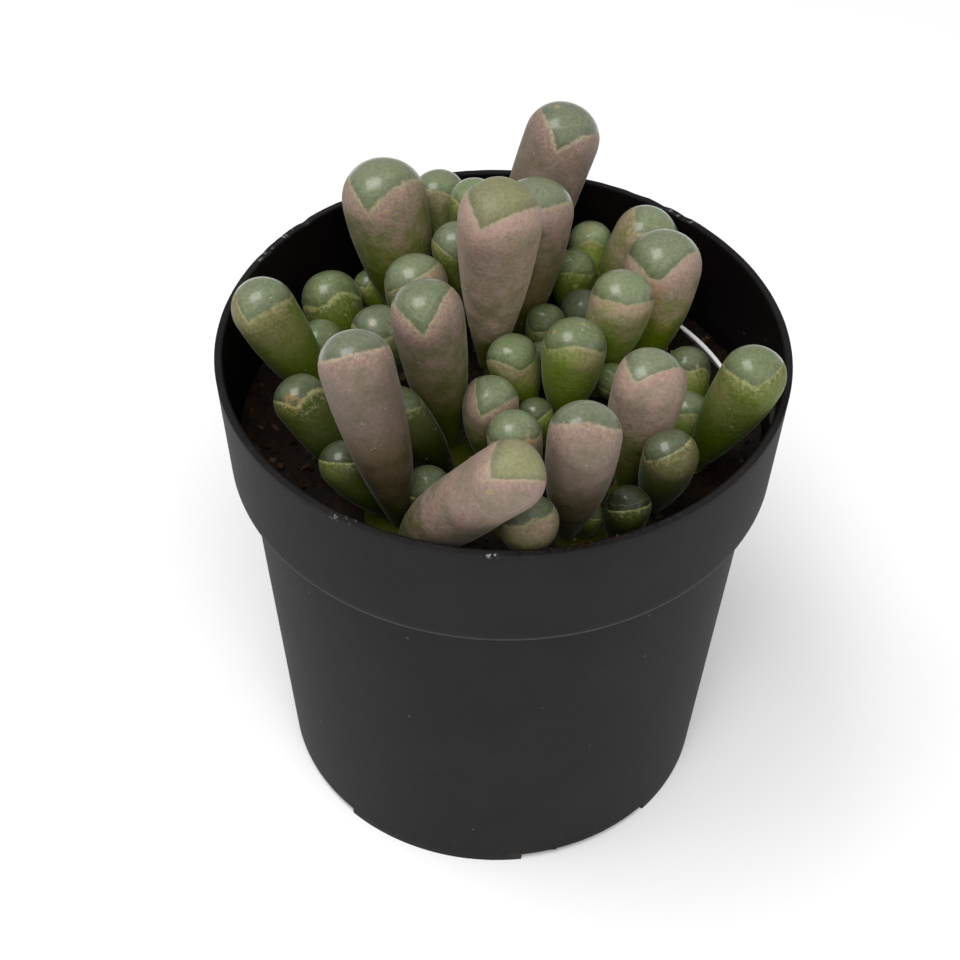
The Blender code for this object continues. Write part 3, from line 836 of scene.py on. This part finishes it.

# The skin: green where it is shaded, mauve where the sun reached it, darkest at the foot, partly its
# own deep green and partly painted shade among the crowded bases.
depth = 1 - reach
green = blotch.step(0.3, 0.7).mix(GREEN, GREEN_PALE)
green = (fresh * 0.6).mix(green, GREEN_FRESH)
green = (patch.step(0.45, 0.65) * 0.3).mix(green, GREEN_TANNED)
deep = fresh.mix(DEEP_GREEN_AND_SHADE, DEEP_FRESH_AND_SHADE)
green = depth.step(0.2, 0.7).mix(green, deep)
blush = blotch.step(0.3, 0.7).mix(MAUVE, MAUVE_PALE)
blush = (halo * 0.5).mix(blush, MAUVE_HALO)
blush = (depth.step(0.25, 0.6) * (1 - dry) * 0.65).mix(blush, MAUVE_LOW)
peach = below.step(0.0, 0.04) * (1 - below.step(0.06, 0.5)) * mottle.step(0.42, 0.62)
peach = peach * fringe.step(0.4, 0.6)
blushed = (0.85 * mauve + 0.5 * (blotch - 0.5) + 0.7 * (patch - 0.5) - depth).step(-0.15, 0.45)
body = (blushed * (mauve * 1.6).least(1.0)).mix(green, blush)
body = depth.step(0.7, 0.95).mix(body, deep)
grain = 0.45 + 0.7 * mottle + 0.4 * pebble
# The lower body is brightened or darkened leaf by leaf, more toward the foot: partly its own tone, partly
# painted light and shade where the shaft stands lit or shaded.
body = body.scaled(grain * (shaft_tone_and_light ** (0.2 + depth)).least(BRIGHTEST))
body = (peach * 0.6).mix(body, PEACH)
rim_line = (margin * 0.85).mix(body, mauve.mix(MARGIN_GREEN, MARGIN_MAUVE))
colour = window.mix(rim_line, glass)

# Scars are pale corky rings, rust is blotched orange, and dust lies in fine specks.
scar = place.cells(420.0).step(0.16, 0.06) * place.cells(420.0, 1).parts()[0].step(0.94, 0.96)
for x, y, z, size in SCARS:
    scar = scar + 0.75 * (place.near(x, y, z, size) - 0.65 * place.near(x, y, z, 0.55 * size))
rust = 0.0
for spot in RUST:
    rust = rust + place.near(*spot)
colour = (rust * pebble.step(0.38, 0.6) * 0.6).least(1.0).mix(colour, RUSTY)
colour = (scar * (0.5 + mottle)).least(0.8).mix(colour, CORKY)
dust = place.cells(1500.0).step(0.22, 0.1) * place.cells(1500.0, 1).parts()[1].step(0.93, 0.95)
colour = (dust * 0.55).mix(colour, DUSTY)
rough = 0.48 - 0.14 * window + 0.16 * mottle
plug(waxy, colour, rough, 0.9 * mottle + pebble + 0.45 * blotch, 0.00005, coat=window * (1.0 - 0.95 * dry))

seed = 0
for name, (crown, leaves) in ROSETTES.items():
    grown_pieces = [make_crown(*crown)]
    for leaf in leaves:
        seed += 1
        grown_pieces.append(make_leaf(seed, *leaf))
    bpy.ops.object.select_all(action="DESELECT")
    for piece in grown_pieces:
        piece.select_set(True)
    rosette = grown_pieces[0]
    bpy.context.view_layer.objects.active = rosette
    bpy.ops.object.join()
    rosette.name = "leaves_" + name.removeprefix("rosette_")
    smooth(rosette, 180)
    dress(rosette, waxy)
    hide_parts(name)
bpy.data.objects.remove(bud)


# Floor and light
# A pale sheet under one soft light overhead, which gives the windows their highlights. A weaker
# one stands at the right, a wide one in front lights the shafts, and white light comes all round.

bpy.ops.object.select_all(action="DESELECT")
bpy.ops.mesh.primitive_plane_add(size=3.0)
floor = bpy.context.object
floor.name = "floor"
paper, nodes = material("paper", specular_ior_level=0.1, roughness=0.9)
pulp = nodes.node("TexCoord", output=3).noise(60.0, 2.0, 0.5)
plug(paper, pulp.mix((0.9, 0.9, 0.9), (0.92, 0.92, 0.92)))
floor.data.materials.append(paper)


def softbox(name, place, aim, size, power):
    """A square area light that faces a point."""
    data = bpy.data.lights.new(name, "AREA")
    data.size = size
    data.energy = power
    lamp = bpy.data.objects.new(name, data)
    bpy.context.collection.objects.link(lamp)
    lamp.matrix_world = (Matrix.Translation(place)
                         @ (Vector(aim) - Vector(place)).to_track_quat("-Z", "Y").to_matrix().to_4x4())
    return lamp


softbox("overhead", (-0.22, -0.01, 0.56), (0, 0, 0.05), 0.31, 1.35)
softbox("right_fill", (0.55, -0.25, 0.25), (0, 0, 0.03), 0.4, 0.5)
front = softbox("front_fill", (0.0, -0.45, 0.75), (0, 0, 0.05), 0.6, 6.0)
front.visible_glossy = False
world = bpy.data.worlds.new("studio")
world.use_nodes = True
world.node_tree.nodes["Background"].inputs["Color"].default_value = (1.0, 1.0, 1.0, 1.0)
world.node_tree.nodes["Background"].inputs["Strength"].default_value = 0.34
bpy.context.scene.world = world
bpy.context.scene.view_settings.view_transform = "Standard"
